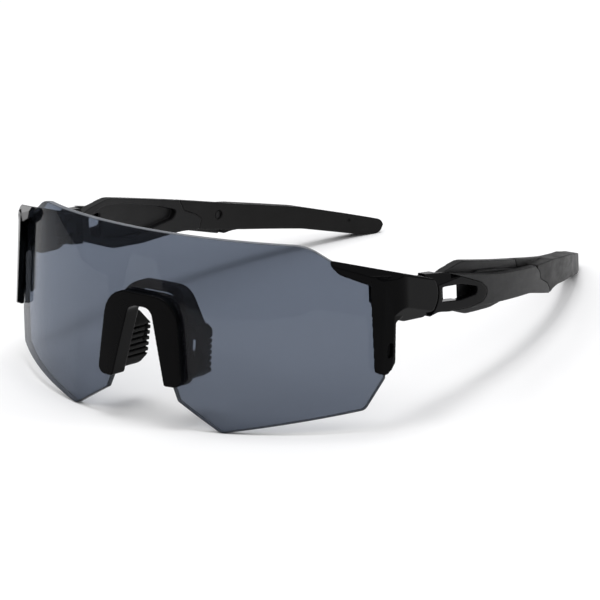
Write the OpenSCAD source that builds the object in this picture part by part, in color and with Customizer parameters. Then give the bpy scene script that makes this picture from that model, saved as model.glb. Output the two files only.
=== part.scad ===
// Wraparound sport sunglasses: rimless one-piece shield lens, end clips with hinged temples,
// nose clip with soft saddle and pads. Millimetres, +Z up, resting on the plane z = 0.
// +Y runs from the front of the lens to the temple tips, +X is the wearer's left side.
// Origin: on the table in the middle plane, halfway between the front and the temple tips.
// The modules measure y from the front of the lens; at_origin() shifts them to the origin.

/* [Lens] */
// Wrap radius of the front face of the lens
lens_r = 91; // [84:0.5:104]
// Lens thickness
lens_t = 1.9; // [1.4:0.1:2.4]
// Backward lean of the lens in degrees
lens_tilt = 8; // [4:0.5:12]
// Height of the lens reference line above the table
lens_z = 25; // [24:0.1:27]
// Top edge of the lens above the reference line
lens_top = 32.2; // [30:0.1:34]
// Half length of the lens measured along the wrap
lens_half = 74; // [72:0.5:75]
// Lowest point of each lens lobe below the reference line
lobe_drop = 24.7; // [24:0.1:25.4]

/* [Nose piece] */
// How far the nose clip stands in front of the lens
nose_proud = 2.0; // [1.2:0.1:2.6]
// How far the nose clip reaches behind the lens
nose_behind = 2.2; // [1.6:0.1:3]
// Top of the nose clip above the reference line
nose_top = 13.5; // [12.5:0.1:15]
// Number of grip ribs on each nose pad
pad_ribs = 7; // [3:1:8]

/* [End clip] */
// Half width over the straight part of the temples
half_width = 70; // [69.5:0.1:71]
// Front stand-off of the clip flange from the lens
clip_proud = 2.4; // [1.4:0.1:2.8]
// Bottom of the clip flange below the reference line
clip_drop = 4.8; // [3:0.1:5]
// Height of the oval slot in the side plate
slot_h = 4.4; // [3:0.1:6]

/* [Hinge] */
// Hinge pin distance from the middle plane
pin_x = 65.2; // [65:0.1:65.6]
// Hinge pin distance behind the front of the lens
pin_y = 46.5; // [46.2:0.1:46.8]
// Hinge pin diameter
pin_d = 1.6; // [1.2:0.1:2]
// Radial running clearance round the hinge pin
pin_fit = 0.05; // [0.03:0.01:0.1]

/* [Temple] */
// Radius of the inward curve of the temples
bend_r = 205; // [195:1:220]
// Where the inward curve starts, measured from the front
bend_y = 70; // [66:1:76]
// Temple thickness over both leaves
temple_t = 6.4; // [6:0.1:6.8]
// Thickness of the outer blade
blade_t = 2.4; // [2:0.1:2.6]
// Thickness of the inner leaf
leaf_t = 2.7; // [2.4:0.1:2.8]

/* [Tip] */
// Rearmost point of the tip sleeve
tip_y = 178; // [174:0.5:182]
// Inward taper of the sleeve in degrees
tip_taper = 1.7; // [1:0.1:2]
// Diameter of the round stud on the inner face of each sleeve
stud_d = 3; // [2.4:0.1:3.4]

/* [Hidden] */
seam = 0.04;
mid_y = 86.8;
hinge_zc = 35.1;
taper_y = 107;
stud_y = 118;
stud_z = 19.6;

// ---------- outline helpers ----------

// sideways position of a point given by its length along the lens wrap
function wrap(s) = lens_r * sin(s * 180 / (PI * lens_r));
function wrap_all(p) = [for (v = p) [wrap(v[0]), v[1], v[2]]];
function mirrored(p) = [for (i = [len(p) - 1 : -1 : 0]) [-p[i][0], p[i][1], p[i][2]]];
function flat(p) = [p[0], p[1]];
function unit(v) = v / norm(v);

// points of a fillet of radius c[2] at corner c between the neighbours a and b
function fillet(a, c, b, n) = let (
    u = unit(flat(a) - flat(c)), w = unit(flat(b) - flat(c)),
    half = acos(u * w) / 2, m = unit(u + w),
    mid = flat(c) + m * c[2] / sin(half),
    p = flat(c) + u * c[2] / tan(half) - mid,
    q = flat(c) + w * c[2] / tan(half) - mid,
    a0 = atan2(p[1], p[0]), turn = atan2(p[0] * q[1] - p[1] * q[0], p * q))
    [for (i = [0 : n]) mid + c[2] * [cos(a0 + turn * i / n), sin(a0 + turn * i / n)]];

// outline of corners [x, y, radius] with every corner rounded
function rounded(p, n = 6) = [for (i = [0 : len(p) - 1])
    each (p[i][2] > 0
        ? fillet(p[(i + len(p) - 1) % len(p)], p[i], p[(i + 1) % len(p)], n)
        : [flat(p[i])])];

// ---------- placing helpers ----------

module in_lens_frame() {
    translate([0, 0, lens_z])
        rotate([-lens_tilt, 0, 0])
            children();
}

// front outline pushed through the depth of the front
module from_front(p, y0, y1) {
    translate([0, y1, 0])
        rotate([90, 0, 0])
            linear_extrude(height = y1 - y0)
                polygon(p);
}

// side outline [y, z] pushed sideways from x0 to x1
module from_side(p, x0, x1) {
    translate([x0, 0, 0])
        rotate([90, 0, 90])
            linear_extrude(height = x1 - x0)
                polygon(p);
}

// curved wall following the lens, from radius r0 to radius r1
module wrap_wall(r0, r1) {
    translate([0, lens_r, -60])
        difference() {
            cylinder(r = r1, h = 120);
            translate([0, 0, -1])
                cylinder(r = r0, h = 122);
        }
}

// wall following the outer line of a temple, from depth a to depth b below its outer face
module temple_wall(a, b) {
    translate([half_width - b, 20, -5])
        cube([b - a, bend_y - 20, 60]);
    translate([half_width - bend_r, bend_y, -5])
        intersection() {
            difference() {
                cylinder(r = bend_r - a, h = 60);
                translate([0, 0, -1])
                    cylinder(r = bend_r - b, h = 62);
            }
            cube([bend_r + 10, 130, 60]);
        }
}

// moves the middle of the outline box over the origin
module at_origin() {
    translate([0, -mid_y, 0])
        children();
}

module other_side() {
    mirror([1, 0, 0])
        children();
}

// ---------- lens ----------

// wedge that cuts the side edges of the lens square to its surface
module lens_wedge(half) {
    a = half * 180 / (PI * lens_r);
    translate([0, 0, -60])
        linear_extrude(height = 120)
            polygon([[0, lens_r], [-150 * sin(a), lens_r - 150 * cos(a)],
                [0, -90], [150 * sin(a), lens_r - 150 * cos(a)]]);
}

lens_corners = wrap_all([
    [49.8, lens_top, 14], [66.5, 22.8, 6], [lens_half + 3, 15.8, 2],
    [lens_half + 3, -0.8, 0], [68.6, -15.3, 2.5], [26.8, -lobe_drop, 4],
    [12.9, -16.9, 1.2], [10.7, -12, 5], [5.8, 8, 3], [4.4, 10.8, 2]]);

module lens_shield() {
    color("DimGray")
        in_lens_frame()
            intersection() {
                wrap_wall(lens_r - lens_t, lens_r);
                lens_wedge(lens_half);
                from_front(rounded(concat(lens_corners, mirrored(lens_corners))), -2, 45);
            }
}

// ---------- nose piece ----------

nose_outer = [[12.5, nose_top, 8.3], [15.2, -12.6, 2.5]];
nose_inner = [[9.4, -12.6, 0.8], [4, 9.6, 3.2]];

module nose_clip() {
    color("Black")
        in_lens_frame()
            difference() {
                intersection() {
                    wrap_wall(lens_r - lens_t - nose_behind, lens_r + nose_proud);
                    from_front(rounded(concat(nose_outer, nose_inner,
                        mirrored(nose_inner), mirrored(nose_outer))), -4, 9);
                }
                intersection() {
                    wrap_wall(lens_r - lens_t - seam, lens_r + seam);
                    difference() {
                        from_front([[-30, -40], [30, -40], [30, 40], [-30, 40]], -4, 9);
                        from_front(rounded([[12.9 - seam, -16.9, 0], [10.7 - seam, -12, 5],
                            [5.8 - seam, 8, 3], [4.4 - seam, 10.8 - seam, 2],
                            [-4.4 + seam, 10.8 - seam, 2], [-5.8 + seam, 8, 3],
                            [-10.7 + seam, -12, 5], [-12.9 + seam, -16.9, 0]]), -5, 10);
                    }
                }
            }
}

saddle_outer = [[9, 15.3, 7], [14.7, 4.9, 0]];
saddle_inner = [[11.4, 4.9, 0], [6.8, 13.1, 4.5]];

// space behind the back face of the nose clip
module behind_clip() {
    translate([0, lens_r, -30])
        cylinder(r = lens_r - lens_t - nose_behind - seam, h = 60);
}

module nose_saddle() {
    color("DarkSlateGray")
        in_lens_frame()
            intersection() {
                behind_clip();
                from_front(rounded(concat(saddle_outer, saddle_inner,
                    mirrored(saddle_inner), mirrored(saddle_outer))), 2, 11);
                // the arch leans back behind the clip
                from_side([[2, 4], [2, 9.5], [4.4, 9.5], [7.6, 16], [12, 16], [12, 4]], -20, 20);
            }
}

pad_front = rounded([[14.7, 4.8, 0], [17.8, -3.6, 5], [16.6, -8.6, 3], [13, -11.4, 2],
    [9.9, -11.4, 1.2], [8.5, 1, 3], [10, 4.8, 0]]);
pad_plan = rounded([[6, 2, 0], [20, 2, 0], [18, 8, 3], [14.8, 14.6, 2], [10.6, 16.4, 1.5], [6, 15.6, 0]]);
pad_side = rounded([[2, 6, 0], [11, 6, 2], [14, 2.6, 3], [17, -0.6, 2], [17, -8.4, 3], [11.6, -12, 3],
    [2, -12, 0]]);

module nose_pad() {
    pitch = 12 / pad_ribs;
    color("DarkSlateGray")
        in_lens_frame()
            difference() {
                intersection() {
                    behind_clip();
                    from_front(pad_front, 2, 17);
                    translate([0, 0, -20])
                        linear_extrude(height = 40)
                            polygon(pad_plan);
                    from_side(pad_side, 0, 25);
                }
                // grip grooves run along the depth and round the rear edge
                for (i = [1 : pad_ribs - 1])
                    translate([0, 0, -10.4 + i * pitch]) {
                        translate([5, 6.5, 0])
                            cube([4.6 - 0.16 * (i - pad_ribs), 12, 0.6]);
                        rotate([0, 0, 36])
                            translate([19.2, -12, -0.15])
                                cube([4, 24, 0.9]);
                    }
                // narrow slot through the pad
                translate([12.6, 8.6, -4.4])
                    rotate([0, 0, 36])
                        translate([-0.35, -12, 0])
                            cube([0.7, 24, 5.4]);
            }
}

// ---------- end clip with hinge ears ----------

// corner of the clip in plan, in the tilted lens frame: flange in front, side plate behind
function lens_point(s, out) = [(lens_r + out) * sin(s * 180 / (PI * lens_r)),
    lens_r - (lens_r + out) * cos(s * 180 / (PI * lens_r))];

module clip_plan(h0, h1) {
    translate([0, 0, h0])
        linear_extrude(height = h1 - h0)
            polygon([lens_point(68.2, -0.4), lens_point(68.2, clip_proud),
                lens_point(72.4, clip_proud), [half_width - 2.4, 27.6], [half_width - 1.9, 28.8],
                [half_width - 1.7, 32.6], [half_width - 3.3, 32.6], [half_width - 3.3, 29]]);
}

// upper arm and temple root: plan, side view and bevelled cross-section in one
module root_body() {
    difference() {
        intersection() {
            from_side(rounded([[10, 55.1, 0], [54, 37.5, 0], [54, 28.6, 0], [44, 28.9, 4],
                [36, 30.0, 6], [31, 32.2, 2], [29.6, 36.6, 0], [10, 36.6, 0]]), 40, 90);
            linear_extrude(height = 80)
                polygon(rounded([[54.2, 18.6, 0.6], [61.6, 24.4, 20], [66.4, 28, 3],
                    [half_width, 32.8, 7], [half_width, 54, 0], [pin_x - 0.7, 54, 0],
                    [pin_x - 0.7, 37, 5], [62.8, 32.4, 6], [53.4, 22.6, 0.6]]));
            translate([0, 10, 9.4])
                rotate([-21, 0, 0])
                    from_front(rounded([[50, 36.5, 0], [54, 46.7, 1.2], [pin_x, 45.4, 2],
                        [half_width + 0.4, 41.3, 1.5], [half_width + 0.4, 33.5, 1.5],
                        [half_width - 3, 28, 1], [50, 20, 0]]), -30, 60);
        }
        // bevel that rises backwards from the lip of the arm
        translate([54.5, 18, 49.3])
            rotate([0, 0, 39.7])
                rotate([0, 17.5, 0])
                    rotate([50, 0, 0])
                        translate([-10, -12, 0])
                            cube([36, 30, 15]);
        // the arm is only a narrow lip in front of the lens
        from_front([[40, 20], [40, 56], [53, 51.6], [54, 50.4], [56.4, 46.9], [61.6, 44],
            [66.8, 41.6], [66.8, 20]], 0, 29.4);
    }
}

module end_clip() {
    color("Black")
        difference() {
            union() {
                in_lens_frame()
                    intersection() {
                        clip_plan(-clip_drop, 24.5);
                        from_side(rounded([[20, -1.8, 0], [27.2, -clip_drop, 1.5], [30.4, -1.2, 1],
                            [29.9, 10.5, 0], [33, 12, 0], [36, 26, 0], [20, 26, 0]]), 50, 80);
                        from_front([[63.2, 26], [65.2, -6], [80, -6], [80, 26]], 15, 40);
                    }
                intersection() {
                    root_body();
                    union() {
                        translate([40, 10, 0])
                            cube([40, 34.4, 80]);
                        translate([50, 44.4, hinge_zc])
                            rotate([0, 90, 0])
                                cylinder(r = 6, h = 40);
                    }
                }
                translate([pin_x, pin_y, 30.3])
                    cylinder(r = 2.5, h = 2.3);
                translate([pin_x, pin_y, 37.6])
                    cylinder(r = 2.5, h = 2.2);
            }
            // room for the lens
            in_lens_frame()
                intersection() {
                    wrap_wall(lens_r - lens_t - seam, lens_r + seam);
                    lens_wedge(lens_half + seam);
                    from_front([[40, -30], [80, -30], [80, 14.4], [wrap(66.5), 22.9],
                        [wrap(54), 31], [40, 34]], 5, 45);
                }
            // room behind the lens edge for the retainer
            in_lens_frame()
                intersection() {
                    translate([40, 20, -20])
                        cube([half_width - 3.3 - 40, 14.4, 33.6]);
                    translate([0, lens_r, -20])
                        cylinder(r = lens_r - lens_t, h = 34);
                }
            // oval slot in the side plate
            in_lens_frame()
                translate([60, 28.1, 2.6])
                    rotate([0, 90, 0]) {
                        translate([slot_h / 2 - 0.9, 0, 0])
                            cylinder(r = 0.9, h = 20);
                        translate([0.9 - slot_h / 2, 0, 0])
                            cylinder(r = 0.9, h = 20);
                        translate([0.9 - slot_h / 2, -0.9, 0])
                            cube([slot_h - 1.8, 1.8, 20]);
                    }
            // pocket for the temple knuckle
            translate([pin_x, pin_y, 32.6]) {
                cylinder(r = 3, h = 5);
                translate([-10, -3, 0])
                    cube([10, 12, 5]);
                translate([-10, 0, 0])
                    cube([13, 12, 5]);
            }
            // inner corner cleared round the ears
            difference() {
                translate([pin_x - 10, pin_y, 20])
                    cube([10, 12, 40]);
                translate([pin_x, pin_y, 19])
                    cylinder(r = 2.5, h = 42);
            }
            translate([pin_x, pin_y, 30])
                cylinder(d = pin_d + 0.02, h = 9.9);
        }
}

module lens_retainer() {
    color("DimGray")
        in_lens_frame()
            translate([0, 0, -0.8])
                linear_extrude(height = 14.35)
                    polygon(concat(
                        [for (s = [71 : 0.5 : 74]) lens_point(s, -lens_t - seam)],
                        [[half_width - 3.34, 32.2], [64.8, 32.3]]));
}

module hinge_pin() {
    color("Silver")
        translate([pin_x, pin_y, 30.3])
            cylinder(d = pin_d, h = 9.5);
}

// ---------- temple ----------

arm_side = rounded([[40, 42.2, 0], [57.5, 38.4, 3], [64.6, 35.2, 8], [73.5, 31, 6],
    [78, 27, 2], [74, 25, 3], [66.5, 25.3, 10], [56, 27.4, 10], [50, 28.8, 6], [40, 28.9, 0]]);

module temple_arm() {
    color("Black")
        difference() {
            union() {
                difference() {
                    intersection() {
                        temple_wall(0, temple_t);
                        from_side(arm_side, 50, 80);
                    }
                    // concave front matching the root
                    translate([50, 44.4, hinge_zc])
                        rotate([0, 90, 0])
                            cylinder(r = 6.35, h = 40);
                    translate([50, 30, 20])
                        cube([40, 14.4, 30]);
                    // swing room on the inner side
                    translate([pin_x - 12, 40, 20])
                        cube([12, pin_y - 40 + 2.9, 30]);
                    translate([pin_x, pin_y, 20])
                        cylinder(r = 2.85, h = 30);
                    // outer top bevel and outer lower bevel
                    translate([half_width, 50, 36.9])
                        rotate([-4, 0, 0])
                            rotate([0, 42, 0])
                                translate([-12, -20, 0])
                                    cube([24, 50, 8]);
                    // room for the leaf, then a tongue lying over the core
                    translate([half_width - temple_t - 1, 55.2 - seam, 15])
                        cube([leaf_t + 1 + seam, 40, 30]);
                    translate([half_width - temple_t - 1, 62, 15])
                        cube([temple_t - blade_t + 1, 30, 30]);
                }
                translate([pin_x, pin_y, 32.9])
                    cylinder(r = 2.6, h = 4.4);
                translate([pin_x - 1.6, pin_y, 32.9])
                    cube([4.2, 5.2, 4.4]);
            }
            // aperture
            from_side(rounded([[52.2, 35.8, 1.2], [63, 33.6, 6], [71.4, 30.4, 1.2],
                [70.6, 28.2, 1.2], [62, 29, 8], [52.2, 31.4, 1.2]]), 50, 80);
            translate([pin_x, pin_y, 30])
                cylinder(d = pin_d + 2 * pin_fit, h = 10);
        }
}

blade_side = rounded([[54.5, 38.8, 0], [60, 37.6, 6], [84, 30.4, 40], [109.6, 24.5, 0.6],
    [112.9, 21.6, 1.5], [113.3, 19.2, 2], [119.4, 15.8, 2], [121.9, 12.9, 0.8],
    [121.2, 11.9, 0.5], [104.7, 17.5, 30], [83.8, 21.6, 40], [56, 27.2, 10], [50, 28.8, 0]]);

module outer_blade() {
    color("Gray")
        difference() {
            intersection() {
                temple_wall(0, blade_t);
                from_side(blade_side, 20, 80);
            }
            from_side(rounded([[40, 42.4, 0], [57.5, 38.4 + seam, 3], [64.6, 35.2 + seam, 8],
                [73.5 + seam, 31 + seam, 6], [78 + seam, 27, 2], [74, 25 - seam, 3],
                [66.5, 25.3 - seam, 10], [56, 27.4 - seam, 10], [50, 28.8 - seam, 6],
                [40, 28.7, 0]]), 20, 80);
        }
}

leaf_side = rounded([[55.2, 37.2, 1], [60, 38, 6], [69, 38.4, 14], [88, 32.7, 40],
    [101.8, 28.6, 0.4], [103.4, 24.9, 1], [108, 22.5, 2], [110.6, 20.4, 0.8],
    [109.4, 17, 0.6], [102, 18.2, 12], [84, 19.2, 30], [70, 21.6, 12], [57.5, 27.2, 6],
    [55.2, 28.6, 0.5]]);

module inner_leaf() {
    color("Gray")
        difference() {
            intersection() {
                temple_wall(temple_t - leaf_t, temple_t);
                from_side(leaf_side, 20, 80);
            }
            // front end of the hollow is open to the aperture of the arm
            from_side(rounded([[58.5, 34, 1.5], [66.5, 34.4, 1], [66.5, 25.6, 1],
                [58.5, 29.4, 1.5]]), 20, 80);
            // long hollow in the inner face, closed by a thin floor
            intersection() {
                temple_wall(temple_t - leaf_t + 0.8, temple_t + 2);
                from_side(rounded([[58.5, 35.2, 1.5], [66, 36.6, 8], [75, 34.8, 12], [93, 29, 20],
                    [100.6, 25.8, 1], [98.5, 23.3, 1.5], [82, 22.5, 20], [68, 24.8, 14],
                    [58.5, 29.4, 1.5]]), 20, 80);
            }
        }
}

core_side = rounded([[71.9, 32.4, 1], [76, 33.4, 1], [88, 30.4, 12], [108, 23.6, 12],
    [130, 17.8, 15], [150, 12.4, 15], [166, 6.6, 1], [166, 3.8, 1], [150, 9.4, 15],
    [130, 14.6, 15], [108, 19.2, 12], [88, 21.9, 12], [76, 24.4, 1], [71.9, 26, 1]]);

module temple_core() {
    color("DarkGray")
        intersection() {
            temple_wall(blade_t + seam, temple_t - leaf_t - seam);
            difference() {
                from_side(core_side, 20, 80);
                from_side(rounded([[80, 29.6, 1], [98, 24.6, 1], [98, 22.4, 1], [80, 25.4, 1]]), 20, 80);
            }
        }
}

// inner face of the tapered sleeve at depth y
function inner_x(y) = half_width - bend_r
    + sqrt(pow(bend_r - temple_t, 2) - pow(y - bend_y, 2)) + (y - taper_y) * sin(tip_taper);
taper_x = half_width - bend_r + sqrt(pow(bend_r - temple_t, 2) - pow(taper_y - bend_y, 2));

sleeve_top = [[126, 21.2, 30], [150, 14.4, 30], [168, 7.8, 6], [tip_y, 4, 2.4]];
sleeve_low = [[tip_y - 2.5, -0.3, 2.4], [168, 1.2, 12], [150, 7, 30], [128, 12.1, 30]];

module tip_sleeve() {
    color("DarkSlateGray")
        difference() {
            union() {
                intersection() {
                    temple_wall(0, temple_t - leaf_t);
                    from_side(rounded(concat([[109.6 + seam, 24.5, 0.6]], sleeve_top, sleeve_low,
                        [[121.2 + seam, 11.9, 0.5], [121.9 + seam, 12.9, 0.8],
                        [119.4 + seam, 15.8 + seam, 2], [113.3 + seam, 19.2, 2],
                        [112.9 + seam, 21.6, 1.5]])), 20, 80);
                }
                intersection() {
                    temple_wall(temple_t - leaf_t, temple_t);
                    from_side(rounded(concat([[101.8 + seam, 28.6, 0.4]], sleeve_top, sleeve_low,
                        [[112, 16.1, 8], [109.4 + seam, 17, 0.6], [110.6 + seam, 20.4, 0.8],
                        [108 + seam, 22.5, 2], [103.4 + seam, 24.9, 1]])), 20, 80);
                }
            }
            // taper of the inner face, pivoting where the leaf ends
            translate([taper_x, taper_y, -5])
                rotate([0, 0, -tip_taper])
                    translate([half_width - bend_r - taper_x, bend_y - taper_y, 0])
                        intersection() {
                            cylinder(r = bend_r - temple_t, h = 60);
                            translate([0, taper_y - bend_y, 0])
                                cube([bend_r, 90, 60]);
                        }
            // seat of the stud and the small vent near the end
            translate([46, stud_y, stud_z])
                rotate([0, 90, 0])
                    cylinder(d = stud_d + 0.04, h = inner_x(stud_y) + 1.2 - 46);
            translate([30, 166, 6.4])
                rotate([0, 90, 0])
                    cylinder(d = 1.1, h = 11.4);
            intersection() {
                temple_wall(blade_t, temple_t - leaf_t);
                from_side(core_side, 20, 80);
            }
        }
}

module tip_stud() {
    color("Black")
        translate([inner_x(stud_y) + 0.3, stud_y, stud_z])
            rotate([0, 90, 0])
                cylinder(d = stud_d, h = 0.88);
}

// ---------- assembly ----------

at_origin() lens_shield();
at_origin() nose_clip();
at_origin() nose_saddle();
at_origin() nose_pad();  // left_nose_pad
at_origin() other_side() nose_pad();  // right_nose_pad
at_origin() end_clip();  // left_end_clip
at_origin() other_side() end_clip();  // right_end_clip
at_origin() lens_retainer();  // left_lens_retainer
at_origin() other_side() lens_retainer();  // right_lens_retainer
at_origin() hinge_pin();  // left_hinge_pin
at_origin() other_side() hinge_pin();  // right_hinge_pin
at_origin() temple_arm();  // left_temple_arm
at_origin() other_side() temple_arm();  // right_temple_arm
at_origin() outer_blade();  // left_outer_blade
at_origin() other_side() outer_blade();  // right_outer_blade
at_origin() inner_leaf();  // left_inner_leaf
at_origin() other_side() inner_leaf();  // right_inner_leaf
at_origin() temple_core();  // left_temple_core
at_origin() other_side() temple_core();  // right_temple_core
at_origin() tip_sleeve();  // left_tip_sleeve
at_origin() other_side() tip_sleeve();  // right_tip_sleeve
at_origin() tip_stud();  // left_tip_stud
at_origin() other_side() tip_stud();  // right_tip_stud
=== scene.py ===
"""Wraparound sport sunglasses: the looks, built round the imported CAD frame.

Metres. +X is the wearer's left, -Y the front, the floor is z = 0.
"""
import math

import bmesh
import bpy
from mathutils import Matrix, Vector


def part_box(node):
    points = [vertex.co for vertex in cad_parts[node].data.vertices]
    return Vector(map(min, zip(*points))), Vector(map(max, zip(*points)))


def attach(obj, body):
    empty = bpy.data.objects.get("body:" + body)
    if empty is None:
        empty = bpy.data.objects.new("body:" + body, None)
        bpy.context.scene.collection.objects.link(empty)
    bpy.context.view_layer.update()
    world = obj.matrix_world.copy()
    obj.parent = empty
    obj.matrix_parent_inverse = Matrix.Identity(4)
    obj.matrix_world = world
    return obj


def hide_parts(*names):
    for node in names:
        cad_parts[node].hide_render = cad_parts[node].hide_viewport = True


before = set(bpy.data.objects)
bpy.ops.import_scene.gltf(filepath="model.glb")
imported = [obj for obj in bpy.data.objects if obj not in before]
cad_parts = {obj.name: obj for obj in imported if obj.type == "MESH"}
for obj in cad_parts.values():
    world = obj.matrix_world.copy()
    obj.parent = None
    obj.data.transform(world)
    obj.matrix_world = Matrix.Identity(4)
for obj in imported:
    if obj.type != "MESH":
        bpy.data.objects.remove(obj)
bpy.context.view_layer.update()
MM = 0.001
SIDES = ("left", "right")

# ---------------------------------------------------------------- driving values

LENS_RADIUS = 91 * MM
LENS_THICK = 1.9 * MM
LENS_TILT = math.radians(8)
LENS_HEIGHT = 25 * MM  # of the reference line that the outline is measured from
PIN_BEHIND_FRONT = 46.5 * MM
pin_low, pin_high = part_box("left_hinge_pin")
FRONT_Y = (pin_low.y + pin_high.y) / 2 - PIN_BEHIND_FRONT


def node(name):
    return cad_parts[name]


# ---------------------------------------------------------------- mesh helpers


def new_object(name, mesh):
    obj = bpy.data.objects.new(name, mesh)
    bpy.context.scene.collection.objects.link(obj)
    return obj


def apply_modifiers(obj):
    """Replaces the mesh by what its modifiers make of it."""
    bpy.context.view_layer.update()
    graph = bpy.context.evaluated_depsgraph_get()
    mesh = bpy.data.meshes.new_from_object(obj.evaluated_get(graph))
    obj.modifiers.clear()
    obj.data = mesh


def smooth_shade(obj):
    obj.data.polygons.foreach_set("use_smooth", [True] * len(obj.data.polygons))


def moulded(name, cad_names, voxel, rounds):
    """A moulded piece: the CAD solids as one skin with every edge softened."""
    mesh = bpy.data.meshes.new(name)
    bm = bmesh.new()
    for cad in cad_names:
        bm.from_mesh(node(cad).data)
    bm.to_mesh(mesh)
    bm.free()
    obj = new_object(name, mesh)
    skin = obj.modifiers.new("skin", "REMESH")
    skin.mode = "VOXEL"
    skin.voxel_size = voxel
    skin.adaptivity = 0.0
    soft = obj.modifiers.new("soft", "SMOOTH")
    soft.factor = 0.5
    soft.iterations = rounds
    apply_modifiers(obj)
    smooth_shade(obj)
    return obj


def fillet(before, corner, after, radius, steps=8):
    """Points of a rounded corner of an outline."""
    if not radius:
        return [corner]
    into, out = (before - corner).normalized(), (after - corner).normalized()
    half = into.angle(out) / 2
    centre = corner + (into + out).normalized() * radius / math.sin(half)
    start = corner + into * radius / math.tan(half) - centre
    end = corner + out * radius / math.tan(half) - centre
    first = math.atan2(start.y, start.x)
    sweep = math.atan2(start.x * end.y - start.y * end.x, start.dot(end))
    return [centre + radius * Vector((math.cos(first + sweep * i / steps),
                                      math.sin(first + sweep * i / steps))) for i in range(steps + 1)]


def rounded(corners):
    """Outline of (x, y, radius) corners given in millimetres, every corner rounded."""
    spots = [Vector(c[:2]) * MM for c in corners]
    count = len(spots)
    points = []
    for i, spot in enumerate(spots):
        points += fillet(spots[i - 1], spot, spots[(i + 1) % count], corners[i][2] * MM)
    return points


# ---------------------------------------------------------------- materials


def material(name):
    mat = bpy.data.materials.new(name)
    mat.use_nodes = True
    tree = mat.node_tree
    return mat, tree, tree.nodes["Principled BSDF"]


def noise(tree, scale, detail=3.0, rough=0.5, stretch=None):
    where = tree.nodes.new("ShaderNodeTexCoord").outputs["Object"]
    if stretch:
        turn = tree.nodes.new("ShaderNodeMapping")
        turn.inputs["Scale"].default_value = stretch
        tree.links.new(where, turn.inputs["Vector"])
        where = turn.outputs["Vector"]
    made = tree.nodes.new("ShaderNodeTexNoise")
    made.inputs["Scale"].default_value = scale
    made.inputs["Detail"].default_value = detail
    made.inputs["Roughness"].default_value = rough
    tree.links.new(where, made.inputs["Vector"])
    return made.outputs["Fac"]


def spread(tree, source, low, high, start=0.35, end=0.65):
    made = tree.nodes.new("ShaderNodeMapRange")
    made.inputs["From Min"].default_value = start
    made.inputs["From Max"].default_value = end
    made.inputs["To Min"].default_value = low
    made.inputs["To Max"].default_value = high
    tree.links.new(source, made.inputs["Value"])
    return made.outputs["Result"]


def tint(tree, source, dark, light):
    made = tree.nodes.new("ShaderNodeValToRGB")
    made.color_ramp.elements[0].color = (*dark, 1)
    made.color_ramp.elements[1].color = (*light, 1)
    made.color_ramp.elements[0].position = 0.3
    made.color_ramp.elements[1].position = 0.7
    tree.links.new(source, made.inputs["Fac"])
    return made.outputs["Color"]


def grain(tree, shader, heights):
    """Stacks bumps given as (height, strength, depth)."""
    last = None
    for height, strength, depth in heights:
        made = tree.nodes.new("ShaderNodeBump")
        made.inputs["Strength"].default_value = strength
        made.inputs["Distance"].default_value = depth
        tree.links.new(height, made.inputs["Height"])
        if last:
            tree.links.new(last, made.inputs["Normal"])
        last = made.outputs["Normal"]
    tree.links.new(last, shader.inputs["Normal"])


SINK_DEPTH = 0.02 * MM
SCRATCH_DEPTH = 0.006 * MM


def plastic(name, dark, light, rough, swing, pore, pore_depth, specular, scratch=0.0):
    """Moulded plastic or rubber: faint flow marks, uneven polish, fine pores and hairline wear."""
    mat, tree, shader = material(name)
    flow = noise(tree, scale=55.0, detail=6.0, rough=0.65)
    polish = noise(tree, scale=260.0, detail=6.0, rough=0.7, stretch=(1.0, 0.35, 1.0))
    sink = noise(tree, scale=160.0, detail=1.0)
    tree.links.new(tint(tree, flow, dark, light), shader.inputs["Base Color"])
    tree.links.new(spread(tree, polish, rough - swing, rough + swing), shader.inputs["Roughness"])
    bumps = [(noise(tree, scale=pore, detail=3.0), 0.6, pore_depth), (sink, 0.25, SINK_DEPTH)]
    if scratch:
        hairline = noise(tree, scale=900.0, detail=2.0, rough=0.5, stretch=(3.0, 0.12, 3.0))
        bumps.append((hairline, scratch, SCRATCH_DEPTH))
    grain(tree, shader, bumps)
    shader.inputs["Specular IOR Level"].default_value = specular
    return mat


gloss_black = plastic("gloss_black", dark=(0.0012, 0.0012, 0.0014), light=(0.0025, 0.0025, 0.0028),
                      rough=0.12, swing=0.03, pore=2500.0, pore_depth=0.001 * MM,
                      specular=0.045, scratch=0.12)
satin_black = plastic("satin_black", dark=(0.005, 0.005, 0.0055), light=(0.008, 0.008, 0.0085),
                      rough=0.40, swing=0.06, pore=6000.0, pore_depth=0.02 * MM, specular=0.09)
soft_black = plastic("soft_black", dark=(0.0045, 0.0045, 0.0045), light=(0.0075, 0.0075, 0.0075),
                     rough=0.50, swing=0.08, pore=7000.0, pore_depth=0.03 * MM, specular=0.08)
matte_grey = plastic("matte_grey", dark=(0.007, 0.007, 0.0075), light=(0.011, 0.011, 0.0115),
                     rough=0.36, swing=0.05, pore=6500.0, pore_depth=0.03 * MM, specular=0.13)
tip_rubber = plastic("tip_rubber", dark=(0.007, 0.0068, 0.0068), light=(0.011, 0.0107, 0.0107),
                     rough=0.44, swing=0.06, pore=7500.0, pore_depth=0.03 * MM, specular=0.10)
steel = plastic("steel", dark=(0.45, 0.45, 0.46), light=(0.55, 0.55, 0.56),
                rough=0.3, swing=0.05, pore=4000.0, pore_depth=0.01 * MM, specular=0.5)
steel.node_tree.nodes["Principled BSDF"].inputs["Metallic"].default_value = 1.0

LENS_DARK, LENS_LIGHT = (0.010, 0.011, 0.014), (0.013, 0.014, 0.017)
LENS_TINT = (0.56, 0.605, 0.685, 1)
LENS_COVER = 0.40
# lens rim colours: painted shade for the downward-facing rim, painted highlight for the upward-facing
# rim
RIM_PAINTED_SHADE, RIM_PAINTED_LIGHT = (0.004, 0.005, 0.007), (0.16, 0.17, 0.19)
RIM_COVER = 0.92


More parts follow.
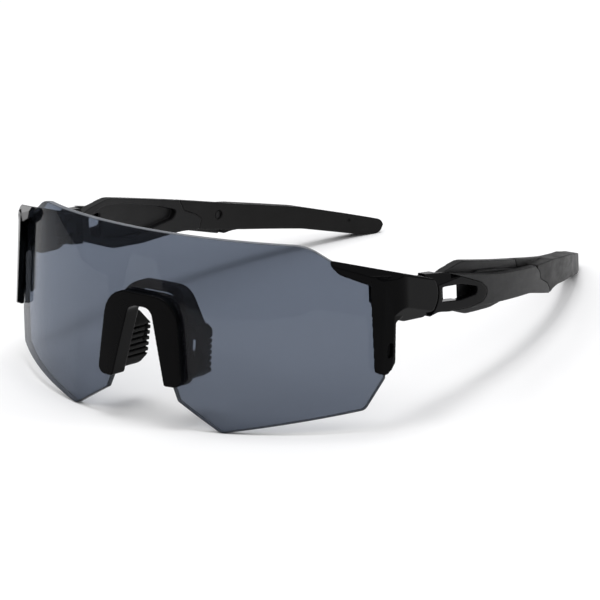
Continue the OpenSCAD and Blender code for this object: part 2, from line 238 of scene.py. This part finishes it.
def smoke_lens():
    """Tinted polycarbonate: even smoke body, faint haze and finger smears in the polish."""
    mat, tree, shader = material("smoke_lens")
    haze = noise(tree, scale=30.0, detail=2.0)
    smears = noise(tree, scale=45.0, detail=5.0, rough=0.6, stretch=(1.0, 1.0, 0.4))
    tree.links.new(tint(tree, haze, LENS_DARK, LENS_LIGHT), shader.inputs["Base Color"])
    tree.links.new(spread(tree, smears, 0.03, 0.09), shader.inputs["Roughness"])
    grain(tree, shader, [(noise(tree, scale=25.0, detail=1.0), 0.15, 0.03 * MM)])
    shader.inputs["Specular IOR Level"].default_value = 0.35
    clear = tree.nodes.new("ShaderNodeBsdfTransparent")
    clear.inputs["Color"].default_value = LENS_TINT
    both = tree.nodes.new("ShaderNodeMixShader")
    both.inputs["Fac"].default_value = LENS_COVER
    tree.links.new(clear.outputs["BSDF"], both.inputs[1])
    tree.links.new(shader.outputs["BSDF"], both.inputs[2])
    tree.links.new(both.outputs["Shader"], tree.nodes["Material Output"].inputs["Surface"])
    mat.surface_render_method = "BLENDED"
    return mat


def painted_light_rim():
    """Ground lens edge with painted light: colour lighter where the rim faces up, painted shade where
    it faces down, plus faint noise.
    """
    mat = plastic("lens_rim", dark=RIM_PAINTED_SHADE, light=RIM_PAINTED_LIGHT, rough=0.20, swing=0.05,
                  pore=1800.0, pore_depth=0.004 * MM, specular=0.12)
    tree = mat.node_tree
    facing = tree.nodes.new("ShaderNodeSeparateXYZ")
    tree.links.new(tree.nodes.new("ShaderNodeTexCoord").outputs["Normal"], facing.inputs["Vector"])
    # painted light and shade: rim colour follows the normal's Z (lighter facing up, darker facing
    # down) with a little random noise added
    painted_top_light = tree.nodes.new("ShaderNodeMath")
    painted_top_light.operation = "MULTIPLY_ADD"
    painted_top_light.inputs[1].default_value = 0.25
    tree.links.new(noise(tree, scale=400.0), painted_top_light.inputs[0])
    tree.links.new(facing.outputs["Z"], painted_top_light.inputs[2])
    shader = tree.nodes["Principled BSDF"]
    colours = shader.inputs["Base Color"].links[0].from_node
    tree.links.new(painted_top_light.outputs["Value"], colours.inputs["Fac"])
    shader.inputs["Alpha"].default_value = RIM_COVER
    mat.surface_render_method = "BLENDED"
    return mat


lens_mat = smoke_lens()
rim_mat = painted_light_rim()


def paint(obj, mat):
    obj.data.materials.clear()
    obj.data.materials.append(mat)
    return obj


def paint_cad(name, mat):
    for slot in node(name).material_slots:
        slot.material = mat


# ---------------------------------------------------------------- lens

# right half of the outline: length along the wrap, height above the reference line, corner radius
LENS_HALF = [(49.8, 32.2, 14), (66.5, 22.8, 6), (74, 17.8, 1.2), (74, -6, 1), (68.6, -15.3, 2.5),
             (26.8, -24.7, 4), (12.9, -16.9, 1.2), (10.7, -12, 5), (5.8, 8, 3), (4.4, 10.8, 2)]
LENS_REACH = 76 * MM  # a little past the side edges
STRIP = 1.5 * MM  # width of the flat strips that the wrap is made of
RIM_ROUND = 0.3 * MM
RIM_CORNER = 1.2  # radians between the plate and its edge
PLATE_FLAT = 0.999
SHARP = math.radians(35)


def on_lens(along, behind, above):
    """World position of a point of the flat lens plate once it is wrapped and leaned back."""
    turn = along / LENS_RADIUS
    reach = LENS_RADIUS - behind
    depth = LENS_RADIUS - reach * math.cos(turn)
    lean, rise = math.sin(LENS_TILT), math.cos(LENS_TILT)
    return Vector((reach * math.sin(turn), FRONT_Y + depth * rise + above * lean,
                   LENS_HEIGHT + above * rise - depth * lean))


def flat_plate():
    """Flat lens plate with a rounded rim; the rim faces take the second material."""
    corners = LENS_HALF + [(-x, y, r) for x, y, r in reversed(LENS_HALF)]
    bm = bmesh.new()
    front = bm.faces.new([bm.verts.new((p.x, 0, p.y)) for p in rounded(corners)])
    back = bmesh.ops.extrude_face_region(bm, geom=[front])
    moved = [v for v in back["geom"] if isinstance(v, bmesh.types.BMVert)]
    bmesh.ops.translate(bm, verts=moved, vec=(0, LENS_THICK, 0))
    bm.normal_update()
    rim = [e for e in bm.edges if len(e.link_faces) == 2 and e.calc_face_angle(0) > RIM_CORNER]
    rim = [e for e in rim if abs(e.verts[0].co.y - e.verts[1].co.y) < RIM_ROUND]
    bmesh.ops.bevel(bm, geom=rim, offset=RIM_ROUND, segments=2, profile=0.5, affect="EDGES")
    bm.normal_update()
    for face in bm.faces:
        face.material_index = 0 if abs(face.normal.y) > PLATE_FLAT else 1
    return bm


def build_lens():
    """Cuts the plate into strips and wraps it round the face."""
    bm = flat_plate()
    reach = int(LENS_REACH / STRIP)
    for i in range(-reach, reach + 1):
        bmesh.ops.bisect_plane(bm, geom=bm.verts[:] + bm.edges[:] + bm.faces[:],
                               plane_co=(i * STRIP, 0, 0), plane_no=(1, 0, 0), dist=1e-7)
    for vert in bm.verts:
        vert.co = on_lens(vert.co.x, vert.co.y, vert.co.z)
    bmesh.ops.recalc_face_normals(bm, faces=bm.faces)
    mesh = bpy.data.meshes.new("lens")
    bm.to_mesh(mesh)
    bm.free()
    mesh.materials.append(lens_mat)
    mesh.materials.append(rim_mat)
    obj = new_object("lens_wrapped", mesh)
    smooth_shade(obj)
    mesh.set_sharp_from_angle(angle=SHARP)
    return obj


lens = build_lens()
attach(lens, "front")
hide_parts("lens_shield")

# ---------------------------------------------------------------- moulded pieces

LOOKS = {"end_clip": (gloss_black, "gloss_black"), "lens_retainer": (satin_black, "satin_black"),
         "temple_arm": (gloss_black, "gloss_black"), "outer_blade": (matte_grey, "matte_grey"),
         "inner_leaf": (matte_grey, "matte_grey"), "temple_core": (satin_black, "satin_black"),
         "tip_sleeve": (tip_rubber, "tip_rubber"), "tip_stud": (satin_black, "satin_black")}
FRONT_PARTS = ("end_clip", "lens_retainer")
HARD_VOXEL, HARD_ROUNDS = 0.19 * MM, 4
SOFT_VOXEL, SOFT_ROUNDS = 0.18 * MM, 6


def dress(cad, body, mat, voxel, rounds):
    piece = paint(moulded(f"{cad}_skin", [cad], voxel, rounds), mat)
    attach(piece, body)
    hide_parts(cad)
    return piece


for side in SIDES:
    paint_cad(f"{side}_hinge_pin", steel)
    for part, (mat, slot) in LOOKS.items():
        body = "front" if part in FRONT_PARTS else f"{side}_temple"
        dress(f"{side}_{part}", body, mat, HARD_VOXEL, HARD_ROUNDS)

dress("nose_clip", "front", gloss_black, SOFT_VOXEL, SOFT_ROUNDS)
for cad in ("nose_saddle", "left_nose_pad", "right_nose_pad"):
    dress(cad, "front", soft_black, SOFT_VOXEL, SOFT_ROUNDS)

# ---------------------------------------------------------------- floor, light, camera

FLOOR_SIZE = 3.0
floor_mesh = bpy.data.meshes.new("floor")
floor_bm = bmesh.new()
bmesh.ops.create_grid(floor_bm, x_segments=1, y_segments=1, size=FLOOR_SIZE)
floor_bm.to_mesh(floor_mesh)
floor_bm.free()
floor = new_object("floor", floor_mesh)
floor_mat, floor_tree, floor_shader = material("floor_white")
paper = tint(floor_tree, noise(floor_tree, scale=3.0), (0.86, 0.86, 0.87), (0.88, 0.88, 0.885))
floor_tree.links.new(paper, floor_shader.inputs["Base Color"])
floor_shader.inputs["Roughness"].default_value = 0.9
floor_shader.inputs["Specular IOR Level"].default_value = 0.0
paint(floor, floor_mat)


# name: place, the point it faces, width and height, watts
LIGHTS = {"overhead": ((-0.02, 0.03, 1.2), (0, 0, 0), (0.42, 0.42), 5.5),
          "strip_front": ((-0.45, -0.75, 0.95), (0, -0.05, 0.03), (0.6, 0.014), 1.8),
          "strip_right": ((1.1, 0.35, 0.62), (0.05, -0.02, 0.04), (0.014, 0.9), 1.8)}


def area_light(name, place, aim, size, power):
    data = bpy.data.lights.new(name, "AREA")
    data.shape = "RECTANGLE"
    data.size, data.size_y = size
    data.energy = power
    obj = bpy.data.objects.new(name, data)
    bpy.context.scene.collection.objects.link(obj)
    obj.location = place
    obj.rotation_euler = (Vector(aim) - Vector(place)).to_track_quat("-Z", "Y").to_euler()


for name, (place, aim, size, power) in LIGHTS.items():
    area_light(name, place, aim, size, power)

WALL_LEVEL, CEILING_LEVEL = 0.10, 1.05
WALL_TOP, CEILING_EDGE = 0.15, 0.80  # heights on the unit sky


def studio_world():
    """Bright ceiling, dim walls: a soft box studio."""
    world = bpy.data.worlds.new("studio")
    world.use_nodes = True
    tree = world.node_tree
    where = tree.nodes.new("ShaderNodeTexCoord")
    split = tree.nodes.new("ShaderNodeSeparateXYZ")
    tree.links.new(where.outputs["Generated"], split.inputs["Vector"])
    level = spread(tree, split.outputs["Z"], WALL_LEVEL, CEILING_LEVEL, WALL_TOP, CEILING_EDGE)
    tree.links.new(level, tree.nodes["Background"].inputs["Strength"])
    tree.nodes["Background"].inputs["Color"].default_value = (1, 1, 1, 1)
    bpy.context.scene.world = world


studio_world()
bpy.context.scene.view_settings.view_transform = "Standard"

VIEW_AZIMUTH = math.radians(36.17)
VIEW_ELEVATION = math.radians(18.98)
VIEW_ROLL = math.radians(-2.70)
VIEW_DISTANCE = 1.25
VIEW_WIDTH = 0.600 / 4.153  # of the picture, at a distance of 1
AIM_RIGHT, AIM_UP = 0.0091, -0.00142
FOCUS = Vector((0, FRONT_Y + 60 * MM, 20 * MM))
SENSOR = 36  # millimetres, as Blender takes it


def add_camera():
    """Camera on a line from the focus, aimed a little beside it."""
    back = Vector((math.sin(VIEW_AZIMUTH) * math.cos(VIEW_ELEVATION),
                   -math.cos(VIEW_AZIMUTH) * math.cos(VIEW_ELEVATION), math.sin(VIEW_ELEVATION)))
    right = Vector((math.cos(VIEW_AZIMUTH), math.sin(VIEW_AZIMUTH), 0))
    up = back.cross(right)
    cosine, sine = math.cos(VIEW_ROLL), math.sin(VIEW_ROLL)
    right, up = cosine * right + sine * up, cosine * up - sine * right
    away = (back - AIM_RIGHT * right - AIM_UP * up).normalized()
    side = (right - away * right.dot(away)).normalized()
    data = bpy.data.cameras.new("camera")
    data.sensor_width = SENSOR
    data.lens = SENSOR / VIEW_WIDTH
    data.clip_start = 0.1
    obj = bpy.data.objects.new("camera", data)
    bpy.context.scene.collection.objects.link(obj)
    turn = Matrix((side, away.cross(side), away)).transposed().to_4x4()
    obj.matrix_world = Matrix.Translation(FOCUS + back * VIEW_DISTANCE) @ turn
    bpy.context.scene.camera = obj


add_camera()
